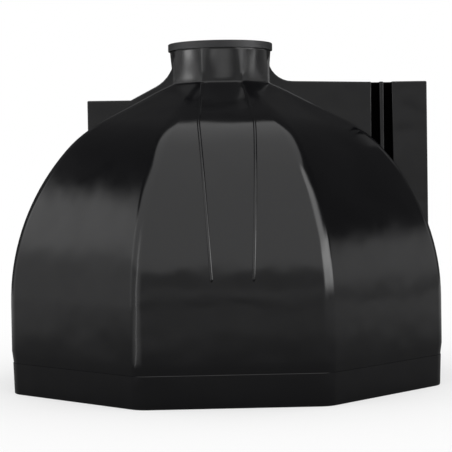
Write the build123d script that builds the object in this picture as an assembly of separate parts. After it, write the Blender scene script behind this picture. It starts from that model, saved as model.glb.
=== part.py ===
from build123d import *
import os
from math import acos, cos, degrees, radians, sin, tan

# Septic tank of about 2500 litres, moulded in one skin of black polyethylene.
# Its body has eight sides that curve in to a sloping shoulder and an access neck.
# A long hood over the inlet runs towards +X, a short one over the outlet towards -X.
# Millimetres, +Z up, front towards -Y, origin on the ground under the middle of the tank.
# An apothem is measured from the middle of the tank square to a flat side.

# Skin
wall = 8.0

# Eight-sided body
bulge_apothem = 888.0
bulge_height = 370.0
bulge_radius = 960.0
base_inset = 8.0
skirt_inset = 4.0
skirt_height = 127.0
skirt_ledge = 2.0
step_height = 50.0
knuckle_apothem = 655.0
knuckle_radius = 500.0
shoulder_slope = 27.7

# Neck: eight-sided where it stands on the shoulder, round under the lid
neck_apothem = 204.0
neck_flare = 13.0
neck_height = 138.0
neck_joint = 76.0

# Lid, resting on a spigot
spigot_step = 3.0
lid_clearance = 5.5
lid_wall = 5.5
lid_height = 31.0
lid_plate = 8.0
lid_recess = 3.0
lid_rim_width = 30.0
lid_chamfer = 3.0
ledge_gap = 6.0
seat_gap = 0.3

# Pipe holes and their rubber rings
pipe_radius = 45.0
seal_thickness = 7.0
seal_lip = 6.0
seal_lip_thickness = 4.0
seal_lip_gap = 1.0
hole_above_shoulder = 27.0

# Hoods over the pipes
hood_lap = 2.0
inlet_set_back = 6.0
inlet_slope = 1.3
inlet_blend = 104.0
outlet_drop = 66.0
outlet_set_back = 82.0
outlet_flat = 185.0
outlet_blend = 150.0
blend_sink = 4.0

# Slots moulded into both faces of the inlet hood, which stand inside it as a baffle
nose_length = 152.0
slot_width = 34.0
slot_web = 19.0
slot_draft = 0.4
baffle_gap = 60.0

# Ribs on the front and back sides
rib_width = 13.0
rib_standing = 5.0
rib_knee_drop = 18.0
rib_knee_spacing = 224.0
rib_foot_rise = 120.0
rib_foot_spacing = 160.0
rib_bend_radius = 150.0

side_names = [
    "right", "back_right", "back", "back_left",
    "left", "front_left", "front", "front_right",
]
side_count = len(side_names)
side_turn = 360.0 / side_count

# Sizes that follow from the ones above
far = 3.0 * bulge_apothem
slope = radians(shoulder_slope)
arc_centre = bulge_apothem - bulge_radius
bulge_turn = acos((knuckle_apothem - arc_centre) / bulge_radius)
knuckle_height = bulge_height + bulge_radius * sin(bulge_turn)
shoulder_reach = knuckle_apothem - knuckle_radius * (cos(bulge_turn) - sin(slope))
shoulder_height = knuckle_height + knuckle_radius * (cos(slope) - sin(bulge_turn))
shoulder_top = shoulder_height + (shoulder_reach - neck_apothem) * tan(slope)
neck_radius = neck_apothem + neck_flare
neck_side = 2 * neck_apothem * tan(radians(side_turn / 2))
ledge_height = shoulder_top + neck_height
lid_bottom = ledge_height + ledge_gap
lid_top = lid_bottom + lid_height
spigot_radius = neck_radius - spigot_step
spigot_top = lid_top - lid_plate - seat_gap
lid_inner_radius = spigot_radius + lid_clearance
lid_radius = lid_inner_radius + lid_wall
hole_radius = pipe_radius + seal_thickness
pipe_below_top = wall + seal_lip_gap + seal_lip + hole_radius
outlet_top = shoulder_height + hole_above_shoulder + pipe_below_top
inlet_top = outlet_top + outlet_drop
inlet_pipe = inlet_top - pipe_below_top
outlet_pipe = outlet_top - pipe_below_top
inlet_reach = bulge_apothem - inlet_set_back
outlet_reach = knuckle_apothem - outlet_set_back
slot_end = inlet_reach - nose_length
slot_start = slot_end - 2 * slot_width - slot_web
hood_width = neck_side + 2 * hood_lap
hood_inside = hood_width / 2 - wall
slot_floor = baffle_gap / 2 + wall


def side_section(inset):
    """Upright section of the body, square to two opposite sides, moved in by inset."""
    bulge = bulge_apothem - inset
    skirt = bulge - skirt_inset
    lower = Polyline(
        (0, inset),
        (bulge - base_inset, inset),
        (skirt, skirt_height),
        (skirt - skirt_ledge, skirt_height + skirt_ledge),
        (bulge, skirt_height + step_height),
        (bulge, bulge_height),
    )
    side = JernArc(lower @ 1, (0, 1), bulge_radius - inset, degrees(bulge_turn))
    knuckle_turn = 90 - shoulder_slope - degrees(bulge_turn)
    knuckle = JernArc(side @ 1, side % 1, knuckle_radius - inset, knuckle_turn)
    top = shoulder_top - inset / cos(slope)
    upper = Polyline(knuckle @ 1, (neck_apothem, top), (0, top), (0, inset))
    half = make_face(Curve() + [lower, side, knuckle, upper])
    return half + mirror(half, Plane.YZ)


def two_sides(inset):
    """The section drawn out along Y, which shapes the sides towards +X and -X."""
    return extrude(Plane.XZ * side_section(inset), far, both=True)


def body_form(inset):
    """The closed eight-sided body: the same section seen from four directions."""
    form = two_sides(inset)
    for step in range(1, side_count // 2):
        form = form & Rot(0, 0, step * side_turn) * two_sides(inset)
    return form


def standing_cylinder(radius, bottom, top):
    """An upright cylinder on the middle axis."""
    return Pos(0, 0, bottom) * Cylinder(radius, top - bottom, align=(Align.CENTER, Align.CENTER, Align.MIN))


def neck_form(inset):
    """The neck from the shoulder to its ledge, changing from eight sides to round."""
    foot = RegularPolygon(neck_apothem - inset, side_count, major_radius=False, rotation=side_turn / 2)
    arcs = [
        CenterArc((0, 0), neck_radius - inset, (index - 0.5) * side_turn, side_turn)
        for index in range(side_count)
    ]
    mouth = make_face(Curve() + arcs)
    return loft([Pos(0, 0, shoulder_top) * foot, Pos(0, 0, ledge_height) * mouth], ruled=True)


def neck_hollow():
    """The way in from the spigot's mouth down into the body."""
    foot = RegularPolygon(neck_apothem - wall, side_count, major_radius=False, rotation=side_turn / 2)
    way = Pos(0, 0, bulge_height) * extrude(foot, shoulder_top - bulge_height)
    return way + neck_form(wall) + standing_cylinder(neck_radius - wall, ledge_height, spigot_top)


def hood_form(reach, top, bend, top_slope, blend_radius, inset):
    """A hood towards +X with a level top that rises to the neck, moved in by inset."""
    rise = radians(top_slope)
    neck_face = neck_apothem - blend_sink - inset
    bend_x = bend - inset * tan(rise / 2)
    level = top - inset
    meeting = level + (bend_x - neck_face) * tan(rise)
    start = meeting + (blend_radius + inset) * tan(radians(90 - top_slope) / 2)
    blend = JernArc((neck_face, start), (0, -1), blend_radius + inset, 90 - top_slope)
    outline = Polyline(
        blend @ 1,
        (bend_x, level),
        (reach - inset, level),
        (reach - inset, bulge_height),
        (0, bulge_height),
        (0, start),
        (neck_face, start),
    )
    return extrude(Plane.XZ * make_face(Curve() + [blend, outline]), hood_width / 2 - inset, both=True)


def slot_cut(start, end, start_draft, end_draft, margin):
    """A slot in the hood's front face from start to end along X, grown by margin."""
    drop = inlet_top - bulge_height
    outline = Polyline(
        (start - margin, far),
        (start - margin, inlet_top),
        (start - margin - drop * tan(radians(start_draft)), bulge_height),
        (end + margin + drop * tan(radians(end_draft)), bulge_height),
        (end + margin, inlet_top),
        (end + margin, far),
        close=True,
    )
    return Pos(0, margin - slot_floor, 0) * extrude(Plane.XZ * make_face(outline), far)


def both_faces(cut):
    """A front cut together with its mirror image at the back."""
    return cut + mirror(cut, Plane.XZ)


def block(low, high):
    """A box between two corners."""
    size = [b - a for a, b in zip(low, high)]
    return Pos(*low) * Box(*size, align=Align.MIN)


def wedge(index):
    """The slice of space that belongs to one side of the body."""
    spread = far * tan(radians(side_turn / 2))
    outline = Polyline((0, 0), (far, -spread), (far, spread), close=True)
    return Rot(0, 0, index * side_turn) * extrude(make_face(outline), far)


def lid_form():
    """A flat cap with a turned-down skirt and a shallow dished middle."""
    cap = standing_cylinder(lid_radius, lid_bottom, lid_top)
    cap = chamfer(cap.edges().sort_by(Axis.Z)[-1], lid_chamfer)
    cap -= standing_cylinder(lid_inner_radius, lid_bottom, lid_top - lid_plate)
    return cap - standing_cylinder(lid_radius - lid_rim_width, lid_top - lid_recess, lid_top)


def pipe_hole(reach, height):
    """A level round hole through a hood's end wall."""
    return Pos(reach, 0, height) * Cylinder(hole_radius, 4 * wall, rotation=(0, 90, 0))


def seal_ring(reach, height):
    """A rubber ring in the pipe hole, flush outside, with a lip against the wall's inner face."""
    outline = Polyline(
        (pipe_radius, 0),
        (hole_radius, 0),
        (hole_radius, wall),
        (hole_radius + seal_lip, wall),
        (hole_radius + seal_lip, wall + seal_lip_thickness),
        (pipe_radius, wall + seal_lip_thickness),
        close=True,
    )
    inwards = Plane(origin=(reach, 0, height), z_dir=(-1, 0, 0))
    return inwards * revolve(Plane.XZ * make_face(outline), Axis.Z)


def front_ribs():
    """Two ridges on the front side, which spread below the neck and close in again."""
    path = FilletPolyline(
        (neck_side / 2, shoulder_top),
        (rib_knee_spacing / 2, shoulder_height - rib_knee_drop),
        (rib_foot_spacing / 2, bulge_height + rib_foot_rise),
        radius=rib_bend_radius,
    )
    band = extrude(Plane.XZ * trace(path, rib_width), far)
    ridge = (Rot(0, 0, 90) * two_sides(-rib_standing) & band) - body_outside - neck_outside
    return {"left": mirror(ridge, Plane.YZ), "right": ridge}


def write(name, shape):
    """Save one piece of the tank."""
    export_step(shape, f"parts/{name}.step")


os.makedirs("parts", exist_ok=True)

# Closed outside forms, and the hollow that they share
turned = Rot(0, 0, 180)
inlet_sizes = (inlet_reach, inlet_top, slot_start, inlet_slope, inlet_blend)
outlet_sizes = (outlet_reach, outlet_top, outlet_reach - outlet_flat, shoulder_slope, outlet_blend)
slots = slot_cut(slot_start, slot_start + slot_width, slot_draft, 0, 0)
slots += slot_cut(slot_end - slot_width, slot_end, 0, slot_draft, 0)
front_baffle_space = slot_cut(slot_start, slot_end, slot_draft, slot_draft, wall)
baffle_space = both_faces(front_baffle_space)
body_outside = body_form(0)
spigot = standing_cylinder(spigot_radius, ledge_height, spigot_top)
neck_outside = neck_form(0) + spigot
inlet_outside = hood_form(*inlet_sizes, 0) - both_faces(slots)
outlet_outside = turned * hood_form(*outlet_sizes, 0)
hollow = body_form(wall) + neck_hollow()
hollow += hood_form(*inlet_sizes, wall) - baffle_space
hollow += turned * hood_form(*outlet_sizes, wall)

# The skin, shared out so that each piece meets its neighbours face to face
body_skin = body_outside - hollow
neck_skin = neck_outside - hollow
inlet_skin = inlet_outside - body_outside - neck_outside - hollow - pipe_hole(inlet_reach, inlet_pipe)
outlet_skin = outlet_outside - body_outside - neck_outside - hollow - pipe_hole(-outlet_reach, outlet_pipe)

# Body: a floor, eight upright walls and eight dome panels that reach the neck
write("floor", body_skin & block((-far, -far, 0), (far, far, wall)))
for index, name in enumerate(side_names):
    side = body_skin & wedge(index)
    write(f"wall_{name}", side & block((-far, -far, wall), (far, far, bulge_height)))
    write(f"dome_{name}", side & block((-far, -far, bulge_height), (far, far, far)))

# Neck in two lengths, and lid
joint_height = shoulder_top + neck_joint
write("neck", neck_skin & block((-far, -far, 0), (far, far, joint_height)))
write("neck_rim", neck_skin & block((-far, -far, joint_height), (far, far, far)))
write("lid", lid_form())

# Inlet hood: its sides in two lengths beside the slots, the slots' own walls, top and end
slot_middle = (slot_start + slot_end) / 2
inlet_cover = inlet_skin - baffle_space
front_strip = block((0, -far, 0), (far, -hood_inside, far))
for name, placed in (("front", lambda form: form), ("back", lambda form: mirror(form, Plane.XZ))):
    side = inlet_cover & placed(front_strip)
    write(f"inlet_side_{name}", side & block((0, -far, 0), (slot_middle, far, far)))
    write(f"inlet_nose_{name}", side & block((slot_middle, -far, 0), (far, far, far)))
    write(f"inlet_baffle_{name}", inlet_skin & placed(front_baffle_space))
end_inside = inlet_reach - wall
write("inlet_top", inlet_cover & block((0, -hood_inside, 0), (end_inside, hood_inside, far)))
write("inlet_end", inlet_cover & block((end_inside, -hood_inside, 0), (far, hood_inside, far)))

# Outlet hood
end_inside = wall - outlet_reach
write("outlet_side_front", outlet_skin & block((-far, -far, 0), (0, -hood_inside, far)))
write("outlet_side_back", outlet_skin & block((-far, hood_inside, 0), (0, far, far)))
write("outlet_top", outlet_skin & block((end_inside, -hood_inside, 0), (0, hood_inside, far)))
write("outlet_end", outlet_skin & block((-far, -hood_inside, 0), (end_inside, hood_inside, far)))

# Rubber rings for the pipes
write("inlet_seal", seal_ring(inlet_reach, inlet_pipe))
write("outlet_seal", turned * seal_ring(outlet_reach, outlet_pipe))

# Ribs
for name, ridge in front_ribs().items():
    write(f"rib_front_{name}", ridge)
    write(f"rib_back_{name}", mirror(ridge, Plane.XZ))
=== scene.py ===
"""Septic tank: the looks built round its fixed frame."""
import math

import bmesh
import bpy
from mathutils import Matrix, Vector


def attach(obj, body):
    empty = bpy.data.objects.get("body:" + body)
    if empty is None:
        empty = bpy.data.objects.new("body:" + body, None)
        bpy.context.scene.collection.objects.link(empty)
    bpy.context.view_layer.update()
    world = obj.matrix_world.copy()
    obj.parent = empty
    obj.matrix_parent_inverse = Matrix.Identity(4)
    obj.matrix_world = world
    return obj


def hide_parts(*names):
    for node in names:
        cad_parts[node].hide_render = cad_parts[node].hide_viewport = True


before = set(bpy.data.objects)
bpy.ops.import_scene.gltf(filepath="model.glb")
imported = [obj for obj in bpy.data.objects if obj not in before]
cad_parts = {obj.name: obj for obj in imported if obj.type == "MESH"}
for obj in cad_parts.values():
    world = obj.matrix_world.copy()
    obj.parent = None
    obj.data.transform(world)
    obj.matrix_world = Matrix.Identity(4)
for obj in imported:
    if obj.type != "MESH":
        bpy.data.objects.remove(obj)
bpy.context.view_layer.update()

bl_info = {
    "name": "Septic Tank",
    "version": (1, 0, 0),
    "blender": (4, 5, 0),
    "location": "View3D > Sidebar > Septic Tank",
    "description": "Builds a moulded septic tank round its fixed frame",
    "category": "Add Mesh",
}

SIDE_COUNT = 8
SIDE_TURN = math.tau / SIDE_COUNT
SPREAD = math.tan(SIDE_TURN / 2)
SIDE_NAMES = (
    "right", "back_right", "back", "back_left", "left", "front_left", "front", "front_right",
)
SKIN_NODES = (
    ["floor", "neck", "neck_rim"]
    + [f"{part}_{side}" for part in ("wall", "dome") for side in SIDE_NAMES]
    + [f"inlet_{part}" for part in ("top", "end", "side_front", "side_back")]
    + ["inlet_nose_front", "inlet_nose_back", "inlet_baffle_front", "inlet_baffle_back"]
    + [f"outlet_{part}" for part in ("top", "end", "side_front", "side_back")]
)

# Steps that the sides' curve, their tighter curve and the hoods' blends are made in
BULGE_STEPS = 18
KNUCKLE_STEPS = 6
BLEND_STEPS = 8

# Cuts along each side of the neck's foot, rings up to its round top, and sides of a pipe hole
NECK_CUTS = 7
NECK_RINGS = 6
HOLE_SIDES = 64

# Steps of the roundings
CORNER_STEPS = 8
EDGE_STEPS = 3
RIM_STEPS = 2

# Marks on the faces of the forms that are joined, in order, the last for the hollow
INLET = 2
HOLLOW = 4
FORMS = 5

# Points nearer than MERGE are merged, and places nearer than CLOSE are the same
MERGE = 0.0006
CLOSE = 1e-5

# How far apart two corners' shares of a side's turn may be and still be the same
CLOSE_TURN = 1e-3

# Angles between faces, in degrees: where the tank's shading and a ridge's turn sharp,
# and from where a hood's edge and a joint between two forms are rounded
SHARP_ANGLE = 30
RIDGE_SHARP_ANGLE = 50
HOOD_EDGE_ANGLE = 50
JOINT_ANGLE = 20

# How far the neck's foot is sunk into the body before they are joined
NECK_SINK = 0.02

# Size of the rounding on the neck's rim
RIM_ROUNDING = 0.002

# How much deeper a hood's hollow starts inside the neck than its outside
HOLLOW_SINK = 0.025

# How many times the wall a hood's hollow stands in from its sides, clear of the neck's corners
HOLLOW_SIDE = 1.5

# How far before its slots the inlet hood's top begins to rise
RISE_AHEAD = 0.02

# Steps round the lid and a ridge, and down a ridge above and below its bend
LID_SIDES = 128
RIB_SIDES = 14
RIB_UPPER_STEPS = 10
RIB_LOWER_STEPS = 24

# How much of a ridge's bend is cut off, and how its foot runs out: (share of size, drop)
RIB_EASING = 0.3
RIB_FOOT = ((0.8, 0.006), (0.5, 0.004), (0.2, 0.002))

# Real sizes of the surface's unevenness, in metres
WAVE_SIZE = 0.16
PATCH_SIZE = 0.22
PEEL_SIZE = 0.005
RUBBER_GRAIN = 0.0012

# Heights of the grain on the slots' walls and on the rubber, in metres
SLOT_GRAIN_HEIGHT = 0.0003
RUBBER_GRAIN_HEIGHT = 0.0002

# Gloss of the two plastics: roughness where clean and where dusty, heights of waves and of peel
SKIN_SURFACE = ((0.12, 0.22), 0.004, 0.00002)
LID_SURFACE = ((0.44, 0.58), 0.001, 0.00004)

# The noise of the patches at which the face is still clean and at which it is fully dusty
CLEAN_UP_TO = 0.35
DUSTY_FROM = 0.7

# How much paler the dust and the rubber's bloom are than what they lie on
DUST_LIGHTENING = 1.7
RUBBER_BLOOM = 1.5

# Soft panels that the gloss shows: name, left, right, softness, bottom, top, softness (degrees),
# strength. Left and right are turns from the front towards the inlet, bottom and top are heights
# over the horizon.
PANELS = (
    ("overhead", -200, 200, 1, 62.5, 100, 1.5, 1.0),
    ("front", -83, 70, 5, 15, 62.5, 1.5, 1.0),
    ("front low", -40, 40, 8, -2, 15, 2, 0.32),
    ("hood faces", -40, 40, 8, 1.5, 4.5, 1, 0.3),
    ("left", -125, -76, 6, 14, 33, 4, 1.05),
    ("left low", -125, -76, 8, -8, 14, 4, 0.5),
    ("right", 66, 125, 8, 2, 16, 3, 0.6),
    ("right low", 66, 125, 8, -8, 2, 3, 0.25),
    ("right strip", 34, 80, 4, 4, 26, 3, 3.6),
    ("right strip, upper", 36, 64, 5, 26, 66, 3, 1.8),
    ("left corner", -84, -30, 10, -8, 14, 4, 0.6),
    ("left corner line", -47.5, -43.5, 1, -9, 32, 4, 2.5),
    ("neck, middle", -48, 56, 4, -20, -4, 1, 1.8),
    ("neck, left patch", -44, -12, 5, -20, -4, 1, 1.2),
    ("neck, left", -94, -50, 3, -20, -4, 1, 9.0),
    ("neck, far left", -125, -100, 4, -20, -4, 1, 1.2),
    ("neck, right", 60, 88, 4, -20, -4, 1, 9.0),
)

# How bright the gloss shows what lies between the panels
PANEL_BACKGROUND = 0.06

# Lit parts of the floor that only the gloss shows: left, right, softness (degrees),
# the distance from the middle that they start at and its softness (metres), strength
FLOOR_LIGHTS = (
    (-41, -39, 1, 1.65, 0.1, 2.2),
    (-52, -26, 8, 1.9, 0.3, 0.45),
    (-200, 200, 1, 3.0, 1.3, 0.28),
)

# The floor's side in metres, and the share of plain white in it as the camera sees it
FLOOR_SIZE = 16
FLOOR_WHITE = 0.55

# The camera, solved from the photograph's perspective, in metres and radians
IMAGE_PIXELS = 452
FOCAL_PIXELS = 1521
SENSOR_MM = 36
CAMERA_PLACE = (-0.247, -6.594, 0.882)
CAMERA_PITCH = 0.0334
CAMERA_ROLL = -0.0161
CAMERA_HEADING = -0.0394


def length(name, description, millimetres):
    """A length that the user may change, in metres, given here in millimetres."""
    return bpy.props.FloatProperty(
        name=name, description=description, default=millimetres / 1000,
        min=0.0, subtype="DISTANCE", unit="LENGTH", precision=4,
    )


def angle(name, description, degrees):
    """An angle that the user may change, given here in degrees."""
    return bpy.props.FloatProperty(
        name=name, description=description, default=math.radians(degrees), subtype="ANGLE",
    )


def linear(hex_colour):
    """The linear colour of an sRGB hex value."""
    parts = [int(hex_colour[i:i + 2], 16) / 255 for i in (1, 3, 5)]
    return tuple(p / 12.92 if p <= 0.04045 else ((p + 0.055) / 1.055) ** 2.4 for p in parts)


def colour(name, description, hex_colour):
    """A colour that the user may change, given as an sRGB hex value."""
    return bpy.props.FloatVectorProperty(
        name=name, description=description, default=linear(hex_colour),
        size=3, min=0.0, max=1.0, subtype="COLOR",
    )


class TANK_PG_sizes(bpy.types.PropertyGroup):
    """Sizes of the tank, the same as those of its frame."""

    wall: length("Wall", "Thickness of the moulded skin", 8)
    bulge_apothem: length("Bulge", "From the middle to a side where the tank is widest", 888)
    bulge_height: length("Bulge height", "Height at which the sides begin to curve in", 370)
    bulge_radius: length("Bulge radius", "Radius of the sides' curve", 960)
    base_inset: length("Base inset", "How far the foot stands in from the bulge", 8)
    skirt_inset: length("Skirt inset", "How far the skirt's top stands in from the bulge", 4)
    skirt_height: length("Skirt height", "Height of the skirt", 127)
    skirt_ledge: length("Skirt ledge", "Width and height of the ledge over the skirt", 2)
    step_height: length("Step height", "Height of the step over the skirt", 50)
    knuckle_apothem: length("Knuckle", "From the middle to where the sides curve in faster", 655)
    knuckle_radius: length("Knuckle radius", "Radius of the faster curve up to the shoulder", 500)
    shoulder_slope: angle("Shoulder slope", "Slope of the shoulder from level", 27.7)
    neck_apothem: length("Neck foot", "From the middle to the neck's eight sides", 204)
    neck_flare: length("Neck flare", "How much wider the neck's round top is than its foot", 13)
    neck_height: length("Neck height", "Height of the neck up to its ledge", 138)
    spigot_step: length("Spigot step", "Width of the ledge round the spigot", 3)
    lid_clearance: length("Lid clearance", "Gap between the spigot and the lid's skirt", 5.5)
    lid_wall: length("Lid wall", "Thickness of the lid's skirt", 5.5)
    lid_height: length("Lid height", "Height of the lid", 31)
    lid_plate: length("Lid plate", "Thickness of the lid's top", 8)
    lid_recess: length("Lid recess", "Depth of the dish in the lid", 3)
    lid_rim_width: length("Lid rim", "Width of the raised rim round the dish", 30)
    ledge_gap: length("Ledge gap", "Gap between the ledge and the lid", 6)
    seat_gap: length("Seat gap", "Gap between the spigot's top and the lid", 0.3)
    pipe_radius: length("Pipe radius", "Radius of the pipes that go through the rings", 45)
    seal_thickness: length("Ring thickness", "Thickness of the rubber rings", 7)
    seal_lip: length("Ring lip", "How far a ring's lip stands out", 6)
    seal_lip_gap: length("Lip gap", "Gap between a ring's lip and the hood's top", 1)
    hole_above_shoulder: length("Hole height", "Outlet's pipe above the shoulder's foot", 27)
    hood_lap: length("Hood lap", "How far a hood is wider than the neck's side, each way", 2)
    inlet_set_back: length("Inlet set back", "How far the inlet hood ends short of the bulge", 6)
    inlet_slope: angle("Inlet slope", "Rise of the inlet hood's top towards the neck", 1.3)
    inlet_blend: length("Inlet blend", "Radius between the inlet hood's top and the neck", 104)
    outlet_drop: length("Outlet drop", "How far the outlet lies below the inlet", 66)
    outlet_set_back: length("Outlet set back", "From the knuckle in to the outlet hood's end", 82)
    outlet_flat: length("Outlet flat", "Length of the outlet hood's level top", 185)
    outlet_blend: length("Outlet blend", "Radius between the outlet hood's top and the neck", 150)
    blend_sink: length("Blend sink", "How far the blends start inside the neck's face", 4)
    nose_length: length("Nose length", "Length of the inlet hood beyond its slots", 152)
    slot_width: length("Slot width", "Width of a slot at its top", 34)
    slot_web: length("Slot web", "Width of the web between two slots", 19)
    slot_draft: angle("Slot draft", "Draft of the slots' outer walls", 0.4)
    baffle_gap: length("Baffle gap", "Gap between the floors of the slots inside the hood", 60)
    rib_width: length("Rib width", "Width of the ridges", 13)
    rib_standing: length("Rib height", "How far the ridges stand out", 5)
    rib_knee_drop: length("Rib knee drop", "The ridges' bend below the shoulder's foot", 18)
    rib_knee_spacing: length("Rib knee spacing", "Distance between the ridges at their bend", 224)
    rib_foot_rise: length("Rib foot rise", "Height of the ridges' foot above the bulge", 120)
    rib_foot_spacing: length("Rib foot spacing", "Distance between the ridges at their foot", 160)
    rib_bend_radius: length("Rib bend", "Radius of the ridges' bend", 150)
    corner_rounding: length("Corner rounding", "Reach of an upright corner's rounding", 32)
    edge_rounding: length("Edge rounding", "How far the rounding of a hood's edge reaches", 5)
    joint_rounding: length("Joint rounding", "How far the rounding of a hood's foot reaches", 7)


class TANK_PG_finish(bpy.types.PropertyGroup):
    """Colours and surface of the tank."""

    skin_colour: colour("Skin", "Colour of the moulded skin", "#08080A")
    lid_colour: colour("Lid", "Colour of the lid", "#141416")
    # The slots' colour is painted shade: darker than the skin, for the shadow deep in the slots
    slot_shade_colour: colour("Slots", "Colour of the slots' walls", "#020202")
    rubber_colour: colour("Rubber", "Colour of the pipe rings", "#151515")
    floor_colour: colour("Floor", "Colour of the floor", "#7C7C7C")


def sizes():
    """The sizes in use."""
    return bpy.context.scene.tank_sizes


def finish():
    """The colours in use."""
    return bpy.context.scene.tank_finish


class Levels:
    """Heights and reaches that follow from the sizes."""

    def __init__(self):
        s = sizes()
        arc_centre = s.bulge_apothem - s.bulge_radius
        self.arc_centre = arc_centre
        turn = math.acos((s.knuckle_apothem - arc_centre) / s.bulge_radius)
        self.bulge_turn = turn
        self.knuckle = s.bulge_height + s.bulge_radius * math.sin(turn)
        self.knuckle_centre = (s.knuckle_apothem - s.knuckle_radius * math.cos(turn),
                               self.knuckle - s.knuckle_radius * math.sin(turn))
        self.shoulder_reach = self.knuckle_centre[0] + s.knuckle_radius * math.sin(s.shoulder_slope)
        self.shoulder_foot = self.knuckle_centre[1] + s.knuckle_radius * math.cos(s.shoulder_slope)
        slope = math.tan(s.shoulder_slope)
        self.shoulder = self.shoulder_foot + (self.shoulder_reach - s.neck_apothem) * slope
        self.neck_radius = s.neck_apothem + s.neck_flare
        self.ledge = self.shoulder + s.neck_height
        self.lid_bottom = self.ledge + s.ledge_gap
        self.lid_top = self.lid_bottom + s.lid_height
        self.spigot_radius = self.neck_radius - s.spigot_step
        self.spigot_top = self.lid_top - s.lid_plate - s.seat_gap
        self.lid_inner_radius = self.spigot_radius + s.lid_clearance
        self.lid_radius = self.lid_inner_radius + s.lid_wall
        self.hole_radius = s.pipe_radius + s.seal_thickness
        below_top = s.wall + s.seal_lip_gap + s.seal_lip + self.hole_radius
        self.outlet_top = self.shoulder_foot + s.hole_above_shoulder + below_top
        self.inlet_top = self.outlet_top + s.outlet_drop
        self.inlet_pipe = self.inlet_top - below_top
        self.outlet_pipe = self.outlet_top - below_top
        self.inlet_reach = s.bulge_apothem - s.inlet_set_back
        self.outlet_reach = s.knuckle_apothem - s.outlet_set_back
        self.slot_end = self.inlet_reach - s.nose_length
        self.slot_start = self.slot_end - 2 * s.slot_width - s.slot_web
        self.neck_side = 2 * s.neck_apothem * SPREAD
        self.hood_half = self.neck_side / 2 + s.hood_lap
        self.slot_floor = s.baffle_gap / 2 + s.wall


def all_edit(action):
    """Turn edit mode on, with all points selected by 'SELECT' or none by 'DESELECT'."""
    bpy.ops.object.mode_set(mode="EDIT")
    bpy.ops.mesh.select_mode(type="VERT")
    bpy.ops.mesh.select_all(action=action)


def leave_edit():
    """Turn edit mode off."""
    bpy.ops.object.mode_set(mode="OBJECT")


def only(piece):
    """Select one object alone and make it active."""
    if bpy.context.object and bpy.context.object.mode != "OBJECT":
        leave_edit()
    bpy.ops.object.select_all(action="DESELECT")
    piece.select_set(True)
    bpy.context.view_layer.objects.active = piece
    return piece


def settle():
    """Put the active object's place, turn and scale into its mesh."""
    bpy.ops.object.transform_apply(location=True, rotation=True, scale=True)


def start_form(name, add, **settings):
    """Add a primitive by its operator, under a name."""
    bpy.ops.object.select_all(action="DESELECT")
    add(**settings)
    piece = bpy.context.object
    piece.name = name
    return piece


def select_edges(piece, test):
    """In edit mode, select just the edges that pass a test on their bmesh edge."""
    bpy.ops.mesh.select_mode(type="EDGE")
    bpy.ops.mesh.select_all(action="DESELECT")
    form = bmesh.from_edit_mesh(piece.data)
    count = 0
    for edge in form.edges:
        if test(edge):
            edge.select_set(True)
            count += 1
    bmesh.update_edit_mesh(piece.data)
    return count


def select_points(piece, test):
    """In edit mode, select just the points that pass a test on their place."""
    bpy.ops.mesh.select_mode(type="VERT")
    bpy.ops.mesh.select_all(action="DESELECT")
    form = bmesh.from_edit_mesh(piece.data)
    for point in form.verts:
        point.select_set(test(point.co))
    form.select_flush_mode()
    bmesh.update_edit_mesh(piece.data)


def raise_ring(move):
    """Extrude what is selected by a move, keeping the new end selected."""
    bpy.ops.mesh.extrude_region_move(TRANSFORM_OT_translate={"value": move})


def stacked_rings(name, sides, turn, rings):
    """A closed form of level rings, each given as (radius, height), with flat ends."""
    radius, height = rings[0]
    piece = start_form(
        name, bpy.ops.mesh.primitive_circle_add, vertices=sides, radius=radius, fill_type="NGON",
        location=(0, 0, height), rotation=(0, 0, turn),
    )
    all_edit("SELECT")
    for next_radius, next_height in rings[1:]:
        raise_ring((0, 0, next_height - height))
        scale = next_radius / radius
        bpy.ops.transform.resize(value=(scale, scale, 1), center_override=(0, 0, next_height))
        radius, height = next_radius, next_height
    close_up(piece)
    return piece


def close_up(piece):
    """Leave edit mode with outward faces, and put the piece's place into its mesh."""
    bpy.ops.mesh.select_mode(type="VERT")
    bpy.ops.mesh.select_all(action="SELECT")
    bpy.ops.mesh.normals_make_consistent(inside=False)
    leave_edit()
    only(piece)
    settle()


def arc_points(centre, radius, start, end, steps):
    """Points of an upright arc between two turns from level."""
    turns = [start + (end - start) * step / steps for step in range(steps + 1)]
    return [
        (centre[0] + radius * math.cos(turn), centre[1] + radius * math.sin(turn)) for turn in turns
    ]


def profile(levels, inset):
    """Apothems and heights of the body's rings from the foot to the shoulder's top, moved in."""
    s = sizes()
    bulge = s.bulge_apothem - inset
    skirt = bulge - s.skirt_inset
    top = levels.shoulder - inset / math.cos(s.shoulder_slope)
    side = arc_points(
        (levels.arc_centre, s.bulge_height), s.bulge_radius - inset,
        0, levels.bulge_turn, BULGE_STEPS,
    )
    knuckle = arc_points(
        levels.knuckle_centre, s.knuckle_radius - inset,
        levels.bulge_turn, math.pi / 2 - s.shoulder_slope, KNUCKLE_STEPS,
    )
    return [
        (bulge - s.base_inset, inset),
        (skirt, s.skirt_height),
        (skirt - s.skirt_ledge, s.skirt_height + s.skirt_ledge),
        (bulge, s.skirt_height + s.step_height),
        *side,
        *knuckle[1:],
        (s.neck_apothem, top),
    ]


def body_form(levels, name, inset):
    """The closed eight-sided body up to the foot of the neck."""
    corner = math.cos(SIDE_TURN / 2)
    rings = [(apothem / corner, height) for apothem, height in profile(levels, inset)]
    return stacked_rings(name, SIDE_COUNT, SIDE_TURN / 2, rings)


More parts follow.
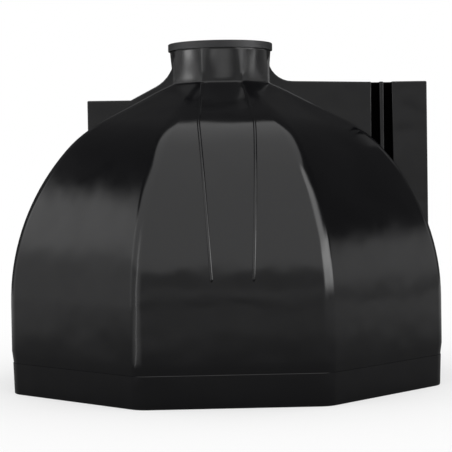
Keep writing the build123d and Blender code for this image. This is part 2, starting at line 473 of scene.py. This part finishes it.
def neck_form(levels, name, inset, mouth_radius, mouth_top):
    """The neck, from an eight-sided foot to a round mouth, with the spigot above its ledge."""
    s = sizes()
    apothem = s.neck_apothem - inset
    piece = start_form(
        name, bpy.ops.mesh.primitive_circle_add, vertices=SIDE_COUNT,
        radius=apothem / math.cos(SIDE_TURN / 2), fill_type="NGON",
        location=(0, 0, levels.shoulder - NECK_SINK), rotation=(0, 0, SIDE_TURN / 2),
    )
    all_edit("SELECT")
    bpy.ops.mesh.subdivide(number_cuts=NECK_CUTS)
    bpy.ops.mesh.select_all(action="SELECT")
    raise_ring((0, 0, NECK_SINK))
    points = NECK_CUTS + 1
    mean = sum(
        apothem / math.cos(math.atan((2 * k / points - 1) * SPREAD)) for k in range(points)
    ) / points
    rise = s.neck_height / NECK_RINGS
    top_radius = levels.neck_radius - inset
    height = levels.shoulder
    middle = mean
    for ring in range(1, NECK_RINGS + 1):
        raise_ring((0, 0, rise))
        height += rise
        left = 1 - (ring - 1) / NECK_RINGS
        bpy.ops.transform.tosphere(value=1 / NECK_RINGS / left)
        wanted = mean + (top_radius - mean) * ring / NECK_RINGS
        scale = wanted / middle
        bpy.ops.transform.resize(value=(scale, scale, 1), center_override=(0, 0, height))
        middle = wanted
    if mouth_radius != top_radius:
        raise_ring((0, 0, 0))
        scale = mouth_radius / top_radius
        bpy.ops.transform.resize(value=(scale, scale, 1), center_override=(0, 0, height))
    raise_ring((0, 0, mouth_top - levels.ledge))
    close_up(piece)
    return piece


def hood_form(levels, name, reach, top, bend, slope, blend_radius, inset):
    """A hood towards +X with a level top that rises in a curve to the neck, moved in by inset."""
    s = sizes()
    face = s.neck_apothem - s.blend_sink - (inset + HOLLOW_SINK if inset else 0)
    bend_x = bend - inset * math.tan(slope / 2)
    level = top - inset
    radius = blend_radius + inset
    start = level + (bend_x - face) * math.tan(slope) + radius * math.tan((math.pi / 2 - slope) / 2)
    path = [(bend_x, level)]
    for step in range(BLEND_STEPS, -1, -1):
        angle = (math.pi / 2 - slope) * step / BLEND_STEPS
        path.append((face + radius * (1 - math.cos(angle)), start - radius * math.sin(angle)))
    path.append((0, start))
    half = levels.hood_half - inset * HOLLOW_SIDE
    bottom = s.bulge_height
    piece = start_form(
        name, bpy.ops.mesh.primitive_plane_add, size=1,
        location=(reach - inset, 0, (level + bottom) / 2), rotation=(0, math.pi / 2, 0),
    )
    piece.scale = (level - bottom, 2 * half, 1)
    settle()
    all_edit("SELECT")
    x, z = reach - inset, level
    for next_x, next_z in path:
        bpy.ops.mesh.select_mode(type="FACE")
        raise_ring((next_x - x, 0, 0))
        select_points(
            piece, lambda place: abs(place.x - next_x) < CLOSE and abs(place.z - z) < CLOSE,
        )
        bpy.ops.transform.translate(value=(0, 0, next_z - z))
        select_points(piece, lambda place: abs(place.x - next_x) < CLOSE)
        x, z = next_x, next_z
    close_up(piece)
    return piece


def box_form(name, low, high):
    """A plain cutter between two corners."""
    middle = [(a + b) / 2 for a, b in zip(low, high)]
    piece = start_form(name, bpy.ops.mesh.primitive_cube_add, size=1, location=middle)
    piece.scale = [b - a for a, b in zip(low, high)]
    settle()
    return piece


def slot_form(levels, start, end, start_draft, end_draft, margin, mirror):
    """A slot's cutter in one face of the inlet hood, wider at its foot, grown by margin."""
    s = sizes()
    bottom = s.bulge_height - s.wall
    top = levels.lid_top
    first, last = start - margin, end + margin
    near, far = levels.slot_floor - margin, s.bulge_apothem / 2
    piece = box_form("cut", (first, near, bottom), (last, far, top))
    all_edit("DESELECT")
    for side, draft, sign in ((first, start_draft, -1), (last, end_draft, 1)):
        for height in (bottom, top):
            select_points(
                piece, lambda place: abs(place.x - side) < CLOSE and abs(place.z - height) < CLOSE,
            )
            spread = sign * (levels.inlet_top - height) * math.tan(draft)
            bpy.ops.transform.translate(value=(spread, 0, 0))
    leave_edit()
    if mirror:
        only(piece)
        bpy.ops.transform.mirror(
            orient_type="GLOBAL", constraint_axis=(False, True, False), center_override=(0, 0, 0),
        )
        settle()
        all_edit("SELECT")
        close_up(piece)
    return piece


def combine(piece, other, operation):
    """Join, cut or keep the common part of two solids, and drop the second."""
    only(piece)
    change = piece.modifiers.new("shape", "BOOLEAN")
    change.operation = operation
    change.solver = "EXACT"
    change.object = other
    bpy.ops.object.modifier_apply(modifier=change.name)
    bpy.data.objects.remove(other, do_unlink=True)
    return piece


def turned_half(piece):
    """Turn a form half round the upright axis, for the outlet."""
    piece.rotation_euler = (0, 0, math.pi)
    only(piece)
    settle()
    return piece


def smooth(piece, degrees=SHARP_ANGLE):
    """Shade the piece smooth but for its sharp edges, with its large faces kept flat."""
    only(piece)
    bpy.ops.object.shade_smooth_by_angle(angle=math.radians(degrees), keep_sharp_edges=False)
    change = piece.modifiers.new("shading", "WEIGHTED_NORMAL")
    change.keep_sharp = True
    bpy.ops.object.modifier_apply(modifier=change.name)


def bevel_edges(piece, test, offset, segments, clamp=True):
    """Round the edges that pass a test."""
    only(piece)
    all_edit("DESELECT")
    if select_edges(piece, test):
        bpy.ops.mesh.bevel(
            offset=offset, segments=segments, profile=0.5, affect="EDGES", clamp_overlap=clamp,
        )
    leave_edit()


def is_upright_corner(edge):
    """True on the body's upright corners."""
    a, b = (point.co for point in edge.verts)
    if abs(a.z - b.z) < CLOSE:
        return False
    turn = (math.atan2(a.y, a.x) / SIDE_TURN) % 1
    other = (math.atan2(b.y, b.x) / SIDE_TURN) % 1
    return abs(turn - 0.5) < CLOSE_TURN and abs(other - 0.5) < CLOSE_TURN


def outer_body(levels):
    """The body's outside with rounded corners and foot."""
    s = sizes()
    piece = body_form(levels, "tank_skin_form", 0)

    def is_foot(edge):
        return all(point.co.z < MERGE for point in edge.verts)

    bevel_edges(piece, is_foot, s.edge_rounding, EDGE_STEPS)
    bevel_edges(piece, is_upright_corner, s.corner_rounding, CORNER_STEPS)
    return piece


def outer_neck(levels):
    """The neck's outside, its foot sunk a little into the body."""
    top = levels.spigot_top
    piece = neck_form(levels, "neck_form", 0, levels.spigot_radius, top)

    def is_rim(edge):
        return all(abs(point.co.z - top) < CLOSE for point in edge.verts)

    bevel_edges(piece, is_rim, RIM_ROUNDING, RIM_STEPS)
    return piece


def outer_hood(levels, name, hood_sizes, cutters=()):
    """A hood's outside with its slots, and all its edges rounded."""
    piece = hood_form(levels, name, *hood_sizes, 0)
    for cutter in cutters:
        combine(piece, cutter, "DIFFERENCE")
    bottom = sizes().bulge_height

    def is_outer(edge):
        a, b = (point.co for point in edge.verts)
        sharp = edge.calc_face_angle(0.0) > math.radians(HOOD_EDGE_ANGLE)
        return sharp and max(a.z, b.z) > bottom + MERGE and max(a.x, b.x) > MERGE

    bevel_edges(piece, is_outer, sizes().edge_rounding, EDGE_STEPS, clamp=False)
    return piece


def inlet_slots(levels, margin):
    """Cutters for the two slots in each face, or with a margin for the walls round them."""
    s = sizes()
    start, end, draft = levels.slot_start, levels.slot_end, s.slot_draft
    if margin:
        spans = [(start, end, draft, draft)]
    else:
        spans = [(start, start + s.slot_width, draft, 0), (end - s.slot_width, end, 0, draft)]
    return [slot_form(levels, *span, margin, mirror) for mirror in (False, True) for span in spans]


def hole_form(levels, reach, height):
    """A cutter for a pipe's hole through the end of a hood."""
    piece = start_form(
        "hole", bpy.ops.mesh.primitive_cylinder_add, vertices=HOLE_SIDES,
        radius=levels.hole_radius, depth=4 * sizes().wall,
        location=(reach, 0, height), rotation=(0, math.pi / 2, 0),
    )
    settle()
    return piece


def is_joint(edge):
    """True where a hood or the neck meets another form at a clear angle."""
    faces = edge.link_faces
    marks = {face.material_index for face in faces}
    if len(faces) != 2 or len(marks) < 2 or HOLLOW in marks:
        return False
    return edge.calc_face_angle(0.0) > math.radians(JOINT_ANGLE)


def form_tag(piece, index):
    """Mark every face of a form, so that the joints can be found after joining."""
    while len(piece.data.materials) < FORMS:
        piece.data.materials.append(None)
    piece.data.polygons.foreach_set("material_index", [index] * len(piece.data.polygons))


def build_skin(levels):
    """The whole tank as one closed skin with its wall thickness."""
    s = sizes()
    inlet_sizes = (
        levels.inlet_reach, levels.inlet_top, levels.slot_start - RISE_AHEAD,
        s.inlet_slope, s.inlet_blend,
    )
    outlet_sizes = (
        levels.outlet_reach, levels.outlet_top, levels.outlet_reach - s.outlet_flat,
        s.shoulder_slope, s.outlet_blend,
    )
    skin = outer_body(levels)
    neck = outer_neck(levels)
    inlet = outer_hood(levels, "inlet_form", inlet_sizes, inlet_slots(levels, 0))
    outlet = turned_half(outer_hood(levels, "outlet_form", outlet_sizes))
    outside = (skin, neck, inlet, outlet)
    for index, form in enumerate(outside):
        form_tag(form, index)
    for form in outside[1:]:
        combine(skin, form, "UNION")
    hollow = body_form(levels, "hollow", s.wall)
    mouth = (levels.neck_radius - s.wall, levels.spigot_top + s.wall)
    combine(hollow, neck_form(levels, "neck_hollow", s.wall, *mouth), "UNION")
    inlet = hood_form(levels, "inlet_hollow", *inlet_sizes, s.wall)
    for cutter in inlet_slots(levels, s.wall):
        combine(inlet, cutter, "DIFFERENCE")
    combine(hollow, inlet, "UNION")
    outlet = turned_half(hood_form(levels, "outlet_hollow", *outlet_sizes, s.wall))
    combine(hollow, outlet, "UNION")
    form_tag(hollow, HOLLOW)
    combine(skin, hollow, "DIFFERENCE")
    pipes = (
        (levels.inlet_reach, levels.inlet_pipe),
        (-levels.outlet_reach, levels.outlet_pipe),
    )
    for reach, height in pipes:
        cutter = hole_form(levels, reach, height)
        form_tag(cutter, HOLLOW)
        combine(skin, cutter, "DIFFERENCE")
    only(skin)
    all_edit("SELECT")
    bpy.ops.mesh.remove_doubles(threshold=MERGE)
    bpy.ops.mesh.fill_holes(sides=4)
    leave_edit()
    bevel_edges(skin, is_joint, s.joint_rounding, EDGE_STEPS, clamp=False)
    return skin


def add_node(tree, kind, values=None, links=None, **settings):
    """Add a node with its settings, its sockets' values and the sockets linked to them."""
    node = tree.nodes.new(kind)
    for name, value in settings.items():
        setattr(node, name, value)
    for socket, value in (values or {}).items():
        node.inputs[socket].default_value = value
    for socket, source in (links or {}).items():
        tree.links.new(source, node.inputs[socket])
    return node


def empty_material(name):
    """A new material with no nodes yet."""
    made = bpy.data.materials.new(name)
    made.use_nodes = True
    made.node_tree.nodes.clear()
    return made, made.node_tree


def moulded_polyethylene(name, tone, roughness, wave_height, peel_height):
    """Moulded polyethylene: deep black with a soft gloss, whose reflections waver.

    The wall cools free of the mould in places, so its face runs in low waves a hand wide. Under
    them lies the fine orange peel of the mould's face, and a thin film of dust makes some patches
    duller."""
    made, tree = empty_material(name)
    place = add_node(tree, "ShaderNodeTexCoord").outputs["Object"]
    patches, waves, peel = (
        add_node(
            tree, "ShaderNodeTexNoise", {"Scale": 1 / size, "Detail": detail, "Roughness": rough},
            {"Vector": place},
        ).outputs["Fac"]
        for size, detail, rough in (
            (PATCH_SIZE, 4.0, 0.6), (WAVE_SIZE, 1.0, 0.35), (PEEL_SIZE, 2.0, 0.5),
        )
    )
    dust = tuple(part * DUST_LIGHTENING for part in tone)
    shade = add_node(
        tree, "ShaderNodeMix", {"A": (*tone, 1), "B": (*dust, 1)}, {"Factor": patches},
        data_type="RGBA",
    )
    dull = add_node(
        tree, "ShaderNodeMapRange",
        {"From Min": CLEAN_UP_TO, "From Max": DUSTY_FROM,
         "To Min": roughness[0], "To Max": roughness[1]},
        {"Value": patches},
    )
    low = add_node(
        tree, "ShaderNodeBump", {"Strength": 1.0, "Distance": wave_height}, {"Height": waves},
    )
    fine = add_node(
        tree, "ShaderNodeBump", {"Strength": 1.0, "Distance": peel_height},
        {"Height": peel, "Normal": low.outputs["Normal"]},
    )
    surface = add_node(
        tree, "ShaderNodeBsdfPrincipled", {"IOR": 1.51, "Metallic": 0.0},
        {"Base Color": shade.outputs["Result"], "Roughness": dull.outputs["Result"],
         "Normal": fine.outputs["Normal"]},
    )
    add_node(tree, "ShaderNodeOutputMaterial", links={"Surface": surface.outputs["BSDF"]})
    return made


def pipe_rubber():
    """Moulded EPDM rubber: dull black with a fine grain that spreads what little it returns."""
    made, tree = empty_material("moulded EPDM rubber")
    place = add_node(tree, "ShaderNodeTexCoord").outputs["Object"]
    grain = add_node(
        tree, "ShaderNodeTexNoise", {"Scale": 1 / RUBBER_GRAIN, "Detail": 3.0}, {"Vector": place},
    ).outputs["Fac"]
    tone = tuple(finish().rubber_colour)
    bloom = tuple(part * RUBBER_BLOOM for part in tone)
    shade = add_node(
        tree, "ShaderNodeMix", {"A": (*tone, 1), "B": (*bloom, 1)}, {"Factor": grain},
        data_type="RGBA",
    )
    rise = add_node(
        tree, "ShaderNodeBump", {"Strength": 0.6, "Distance": RUBBER_GRAIN_HEIGHT},
        {"Height": grain},
    )
    surface = add_node(
        tree, "ShaderNodeBsdfPrincipled", {"IOR": 1.5, "Roughness": 0.7},
        {"Base Color": shade.outputs["Result"], "Normal": rise.outputs["Normal"]},
    )
    add_node(tree, "ShaderNodeOutputMaterial", links={"Surface": surface.outputs["BSDF"]})
    return made


def wear(piece, material):
    """Give the whole piece one material."""
    piece.data.materials.clear()
    piece.data.materials.append(material)
    piece.data.polygons.foreach_set("material_index", [0] * len(piece.data.polygons))


def skin_material():
    """The tank's own polyethylene, made once."""
    name = "rotomoulded polyethylene"
    found = bpy.data.materials.get(name)
    return found or moulded_polyethylene(name, tuple(finish().skin_colour), *SKIN_SURFACE)


def slot_shade_material():
    """The same polyethylene left dull inside the slots, where the mould can't be polished, and
    coloured near black there as painted shade for the shadow deep in the narrow slots.

    It takes the light out of them, so they read as black beside the glossy faces."""
    made, tree = empty_material("dull polyethylene with painted shade in the slots")
    place = add_node(tree, "ShaderNodeTexCoord").outputs["Object"]
    grain = add_node(
        tree, "ShaderNodeTexNoise", {"Scale": 1 / PEEL_SIZE, "Detail": 3.0}, {"Vector": place},
    ).outputs["Fac"]
    rise = add_node(
        tree, "ShaderNodeBump", {"Strength": 1.0, "Distance": SLOT_GRAIN_HEIGHT},
        {"Height": grain},
    )
    surface = add_node(
        tree, "ShaderNodeBsdfPrincipled",
        {"Base Color": (*finish().slot_shade_colour, 1), "Roughness": 0.8, "IOR": 1.1},
        {"Normal": rise.outputs["Normal"]},
    )
    add_node(tree, "ShaderNodeOutputMaterial", links={"Surface": surface.outputs["BSDF"]})
    return made


def slot_faces(levels, piece):
    """The faces of the skin's outside that lie in the slots of the inlet hood."""
    s = sizes()
    draft = (levels.inlet_top - s.bulge_height) * math.tan(s.slot_draft)
    face = levels.hood_half - s.edge_rounding
    floor = levels.slot_floor - MERGE
    return [
        part.index for part in piece.data.polygons
        if part.material_index == INLET and floor < abs(part.center.y) < face
        and levels.slot_start - draft < part.center.x < levels.slot_end + draft
    ]


def lid_form(levels):
    """The lid: a dished plate with a raised rim and a turned-down skirt, its edges rounded."""
    s = sizes()
    rim = levels.lid_radius - s.lid_rim_width
    top = levels.lid_top
    piece = stacked_rings("lid_cover", LID_SIDES, 0, [
        (levels.lid_inner_radius, top - s.lid_plate),
        (levels.lid_inner_radius, levels.lid_bottom),
        (levels.lid_radius, levels.lid_bottom),
        (levels.lid_radius, top),
        (rim, top),
        (rim, top - s.lid_recess),
    ])

    def on_ring(radius, height):
        return lambda edge: all(
            abs(point.co.z - height) < MERGE and abs(point.co.xy.length - radius) < MERGE
            for point in edge.verts
        )

    # Each ring's radius and height, and the size and steps of its rounding
    for radius, height, offset, segments in (
        (levels.lid_radius, top, 0.004, 4),
        (levels.lid_radius, levels.lid_bottom, 0.0012, 2),
        (levels.lid_inner_radius, levels.lid_bottom, 0.0012, 2),
        (rim, top, 0.0015, 2),
        (rim, top - s.lid_recess, 0.001, 2),
    ):
        bevel_edges(piece, on_ring(radius, height), offset, segments)
    return piece


def surface_at(levels, height):
    """How far the body's side stands out at a height, and the rise of its outward direction."""
    s = sizes()
    if height >= levels.shoulder_foot:
        reach = s.neck_apothem + (levels.shoulder - height) / math.tan(s.shoulder_slope)
        return reach, math.pi / 2 - s.shoulder_slope
    if height >= levels.knuckle:
        angle = math.asin((height - levels.knuckle_centre[1]) / s.knuckle_radius)
        return levels.knuckle_centre[0] + s.knuckle_radius * math.cos(angle), angle
    angle = math.asin((height - s.bulge_height) / s.bulge_radius)
    return levels.arc_centre + s.bulge_radius * math.cos(angle), angle


def rib_path(levels):
    """Points (across, height) down one ridge, with a short round-off at its bend."""
    s = sizes()
    knee = (s.rib_knee_spacing / 2, levels.shoulder_foot - s.rib_knee_drop)
    foot = (s.rib_foot_spacing / 2, s.bulge_height + s.rib_foot_rise)
    start = (levels.neck_side / 2, levels.shoulder)
    points = []
    for a, b, count in ((start, knee, RIB_UPPER_STEPS), (knee, foot, RIB_LOWER_STEPS)):
        for step in range(count + 1):
            t = step / count
            points.append((a[0] + (b[0] - a[0]) * t, a[1] + (b[1] - a[1]) * t))
    bend = RIB_UPPER_STEPS
    points[bend] = tuple(
        (p + q) / 2 * RIB_EASING + k * (1 - RIB_EASING)
        for p, q, k in zip(points[bend - 1], points[bend + 2], knee)
    )
    del points[bend + 1]
    return points


def ridge_form(levels, name, across_sign, front):
    """One ridge: a rounded band along the side's curve, with its foot run out into the skin."""
    s = sizes()
    path = rib_path(levels)
    x, z = path[0]
    reach, rise = surface_at(levels, z)
    half = s.rib_width / 2
    depth = s.rib_standing / math.cos(rise)
    place = Vector((across_sign * x, front * reach, z))
    piece = start_form(
        name, bpy.ops.mesh.primitive_circle_add, vertices=RIB_SIDES, radius=half,
        fill_type="NGON", location=place,
    )
    all_edit("SELECT")
    bpy.ops.transform.resize(value=(1, depth / half, 1), center_override=place)
    for x, z in path[1:]:
        reach, rise = surface_at(levels, z)
        next_depth = s.rib_standing / math.cos(rise)
        target = Vector((across_sign * x, front * reach, z))
        raise_ring(target - place)
        bpy.ops.transform.resize(value=(1, next_depth / depth, 1), center_override=target)
        place, depth = target, next_depth
    for share, drop in RIB_FOOT:
        raise_ring((0, 0, -drop))
        place = place + Vector((0, 0, -drop))
        bpy.ops.transform.resize(value=(share, share, 1), center_override=place)
    close_up(piece)
    return piece


class TANK_OT_skin(bpy.types.Operator):
    """Build the moulded skin"""

    bl_idname = "septic_tank.skin"
    bl_label = "Moulded skin"

    def execute(self, context):
        levels = Levels()
        skin = build_skin(levels)
        skin.name = "tank_skin"
        smooth(skin)
        # The faces inside the slots get the rough material whose darker colour is painted shade
        dull = slot_faces(levels, skin)
        wear(skin, skin_material())
        skin.data.materials.append(slot_shade_material())
        for index in dull:
            skin.data.polygons[index].material_index = 1
        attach(skin, "tank")
        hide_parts(*SKIN_NODES)
        return {"FINISHED"}


class TANK_OT_ribs(bpy.types.Operator):
    """Build the ridges on the front and back sides"""

    bl_idname = "septic_tank.ribs"
    bl_label = "Ridges"

    def execute(self, context):
        levels = Levels()
        for side, front in (("front", -1), ("back", 1)):
            for hand, across in (("left", -1), ("right", 1)):
                node = f"rib_{side}_{hand}"
                ridge = ridge_form(levels, f"ridge_{side}_{hand}", across, front)
                smooth(ridge, RIDGE_SHARP_ANGLE)
                wear(ridge, skin_material())
                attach(ridge, "tank")
                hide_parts(node)
        return {"FINISHED"}


class TANK_OT_lid(bpy.types.Operator):
    """Build the lift-off lid"""

    bl_idname = "septic_tank.lid"
    bl_label = "Lid"

    def execute(self, context):
        lid = lid_form(Levels())
        smooth(lid)
        material = moulded_polyethylene(
            "injection moulded polyethylene", tuple(finish().lid_colour), *LID_SURFACE,
        )
        wear(lid, material)
        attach(lid, "lid")
        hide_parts("lid")
        return {"FINISHED"}


class TANK_OT_seals(bpy.types.Operator):
    """Finish the rubber rings of the pipe holes"""

    bl_idname = "septic_tank.seals"
    bl_label = "Pipe rings"

    def execute(self, context):
        rubber = pipe_rubber()
        for name in ("inlet_seal", "outlet_seal"):
            wear(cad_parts[name], rubber)
        return {"FINISHED"}


def in_radians(*degrees):
    """Angles in degrees turned into radians."""
    return tuple(math.radians(value) for value in degrees)


def soft_window(tree, value, low, high, softness):
    """A soft step up at low and down at high, as a share from 0 to 1."""
    steps = [
        add_node(
            tree, "ShaderNodeMapRange",
            {"From Min": edge - softness, "From Max": edge + softness,
             "To Min": before, "To Max": after},
            {"Value": value}, interpolation_type="SMOOTHSTEP",
        ).outputs[0]
        for edge, before, after in ((low, 0.0, 1.0), (high, 1.0, 0.0))
    ]
    both = add_node(tree, "ShaderNodeMath", links=dict(enumerate(steps)), operation="MULTIPLY")
    return both.outputs[0]


def add_light(tree, total, strength, *windows):
    """Add a strength, where two soft windows meet, to a total: a number or another such sum.

    A window is a value's socket, its low and high end and their softness."""
    shares = [soft_window(tree, *window) for window in windows]
    lit = add_node(tree, "ShaderNodeMath", links=dict(enumerate(shares)), operation="MULTIPLY")
    summed = add_node(
        tree, "ShaderNodeMath", {1: strength}, {0: lit.outputs[0]}, operation="MULTIPLY_ADD",
    )
    if isinstance(total, float):
        summed.inputs[2].default_value = total
    else:
        tree.links.new(total, summed.inputs[2])
    return summed.outputs[0]


def turn_from_front(tree, parts):
    """The turn of a direction from the front towards the inlet, in radians."""
    towards = add_node(tree, "ShaderNodeMath", {1: -1.0}, {0: parts["Y"]}, operation="MULTIPLY")
    turn = add_node(
        tree, "ShaderNodeMath", links={0: parts["X"], 1: towards.outputs[0]}, operation="ARCTAN2",
    )
    return turn.outputs[0]


def floor_lights(tree):
    """The strength of the floor's lit parts, which lighten the tank's foot and front corner."""
    place = add_node(tree, "ShaderNodeTexCoord").outputs["Object"]
    parts = add_node(tree, "ShaderNodeSeparateXYZ", links={0: place}).outputs
    turn = turn_from_front(tree, parts)
    away = add_node(tree, "ShaderNodeVectorMath", links={0: place}, operation="LENGTH")
    reach = away.outputs["Value"]
    total = 0.0
    for left, right, side_soft, start, start_soft, strength in FLOOR_LIGHTS:
        total = add_light(
            tree, total, strength,
            (turn, *in_radians(left, right, side_soft)),
            (reach, start, FLOOR_SIZE, start_soft),
        )
    return total


def floor_material():
    """Matt painted floor: pale and even, it keeps a faint shadow and clears to white round it."""
    made, tree = empty_material("matt painted floor")
    path = add_node(tree, "ShaderNodeLightPath").outputs
    shadowed = add_node(tree, "ShaderNodeBsdfDiffuse", {"Color": (1, 1, 1, 1)})
    white = add_node(tree, "ShaderNodeEmission", {"Color": (1, 1, 1, 1), "Strength": 1.0})
    shown = add_node(
        tree, "ShaderNodeMixShader", {0: FLOOR_WHITE},
        {1: shadowed.outputs[0], 2: white.outputs[0]},
    )
    real = add_node(tree, "ShaderNodeBsdfDiffuse", {"Color": (*finish().floor_colour, 1)})
    lights = add_node(
        tree, "ShaderNodeEmission", {"Color": (1, 1, 1, 1)}, {"Strength": floor_lights(tree)},
    )
    lit = add_node(tree, "ShaderNodeAddShader", None, {0: real.outputs[0], 1: lights.outputs[0]})
    gloss = add_node(
        tree, "ShaderNodeMixShader", None,
        {0: path["Is Glossy Ray"], 1: real.outputs[0], 2: lit.outputs[0]},
    )
    mixed = add_node(
        tree, "ShaderNodeMixShader", None,
        {0: path["Is Camera Ray"], 1: gloss.outputs[0], 2: shown.outputs[0]},
    )
    add_node(tree, "ShaderNodeOutputMaterial", links={"Surface": mixed.outputs[0]})
    return made


def studio_world():
    """Even white light, with soft panels round the tank that only its gloss shows."""
    world = bpy.data.worlds.new("studio")
    world.use_nodes = True
    tree = world.node_tree
    tree.nodes.clear()
    look = add_node(tree, "ShaderNodeTexCoord").outputs["Generated"]
    parts = add_node(tree, "ShaderNodeSeparateXYZ", links={0: look}).outputs
    rise = add_node(tree, "ShaderNodeMath", links={0: parts["Z"]}, operation="ARCSINE").outputs[0]
    turn = turn_from_front(tree, parts)
    total = PANEL_BACKGROUND
    for _, left, right, side_soft, low, high, high_soft, strength in PANELS:
        total = add_light(
            tree, total, strength,
            (turn, *in_radians(left, right, side_soft)),
            (rise, *in_radians(low, high, high_soft)),
        )
    path = add_node(tree, "ShaderNodeLightPath").outputs
    even = add_node(tree, "ShaderNodeBackground", {"Color": (1, 1, 1, 1), "Strength": 1.0})
    panels = add_node(
        tree, "ShaderNodeBackground", {"Color": (1, 1, 1, 1)}, {"Strength": total},
    )
    mixed = add_node(
        tree, "ShaderNodeMixShader", None,
        {0: path["Is Glossy Ray"], 1: even.outputs[0], 2: panels.outputs[0]},
    )
    add_node(tree, "ShaderNodeOutputWorld", links={"Surface": mixed.outputs[0]})
    return world


class TANK_OT_stage(bpy.types.Operator):
    """Set up the floor, the light and the camera"""

    bl_idname = "septic_tank.stage"
    bl_label = "Floor, light and camera"

    def execute(self, context):
        floor = start_form(
            "stage_floor", bpy.ops.mesh.primitive_plane_add, size=FLOOR_SIZE, location=(0, 0, 0),
        )
        wear(floor, floor_material())
        context.scene.world = studio_world()
        camera_data = bpy.data.cameras.new("camera")
        camera = bpy.data.objects.new("camera", camera_data)
        context.scene.collection.objects.link(camera)
        camera_data.sensor_fit = "HORIZONTAL"
        camera_data.sensor_width = SENSOR_MM
        camera_data.lens = SENSOR_MM * FOCAL_PIXELS / IMAGE_PIXELS
        turn = Matrix.Rotation(CAMERA_HEADING, 4, "Z")
        turn @= Matrix.Rotation(math.pi / 2 - CAMERA_PITCH, 4, "X")
        turn @= Matrix.Rotation(CAMERA_ROLL, 4, "Z")
        camera.matrix_world = Matrix.Translation(CAMERA_PLACE) @ turn
        context.scene.camera = camera
        context.scene.view_settings.view_transform = "Standard"
        return {"FINISHED"}


PIECES = (TANK_OT_skin, TANK_OT_ribs, TANK_OT_lid, TANK_OT_seals, TANK_OT_stage)


class TANK_PT_panel(bpy.types.Panel):
    """The tank's pieces and sizes in the sidebar"""

    bl_idname = "TANK_PT_panel"
    bl_label = "Septic Tank"
    bl_space_type = "VIEW_3D"
    bl_region_type = "UI"
    bl_category = "Septic Tank"

    def draw(self, context):
        for piece in PIECES:
            self.layout.operator(piece.bl_idname)
        for group in (context.scene.tank_sizes, context.scene.tank_finish):
            box = self.layout.box()
            for name in group.__annotations__:
                box.prop(group, name)


CLASSES = (TANK_PG_sizes, TANK_PG_finish, *PIECES, TANK_PT_panel)


def register():
    """Add the classes and the scene's settings."""
    for item in CLASSES:
        bpy.utils.register_class(item)
    bpy.types.Scene.tank_sizes = bpy.props.PointerProperty(type=TANK_PG_sizes)
    bpy.types.Scene.tank_finish = bpy.props.PointerProperty(type=TANK_PG_finish)


def unregister():
    """Take the classes and the scene's settings away."""
    del bpy.types.Scene.tank_finish
    del bpy.types.Scene.tank_sizes
    for item in reversed(CLASSES):
        bpy.utils.unregister_class(item)


def main():
    """Build everything in order."""
    register()
    bpy.ops.septic_tank.skin()
    bpy.ops.septic_tank.ribs()
    bpy.ops.septic_tank.lid()
    bpy.ops.septic_tank.seals()
    bpy.ops.septic_tank.stage()


if __name__ == "__main__":
    main()
